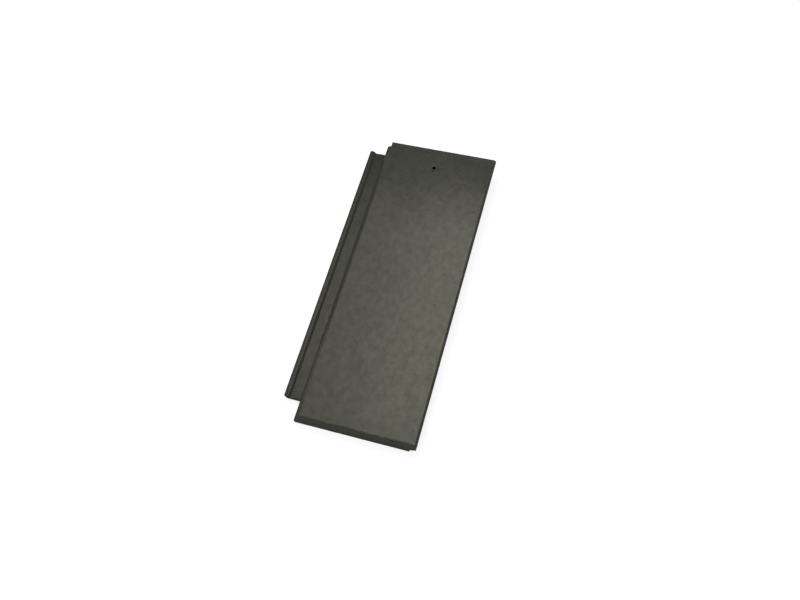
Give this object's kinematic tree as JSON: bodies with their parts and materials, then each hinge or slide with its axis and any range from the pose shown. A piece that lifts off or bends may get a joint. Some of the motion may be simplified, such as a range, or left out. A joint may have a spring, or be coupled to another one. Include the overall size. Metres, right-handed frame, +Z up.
{
  "type": "concrete half roof tile",
  "caption": "Flat interlocking concrete half tile for roofs, with a water fold on the left, a cover lap on the right, suspension nibs and a nail hole at the head.",
  "frame": {"origin": "middle of the box, on the floor that the tile lies on", "axes": "+X across the tile from the water fold to the cover lap, +Y from the foot to the head, +Z up; the weather face leans 1.7 degrees because the tile lies on its foot and its nibs"},
  "size_m": [0.1806, 0.4204, 0.0335],
  "materials": {
    "concrete": "satin through-coloured concrete"
  },
  "bodies": {
    "root": {"half_tile": "concrete"}
  },
  "joints": []
}
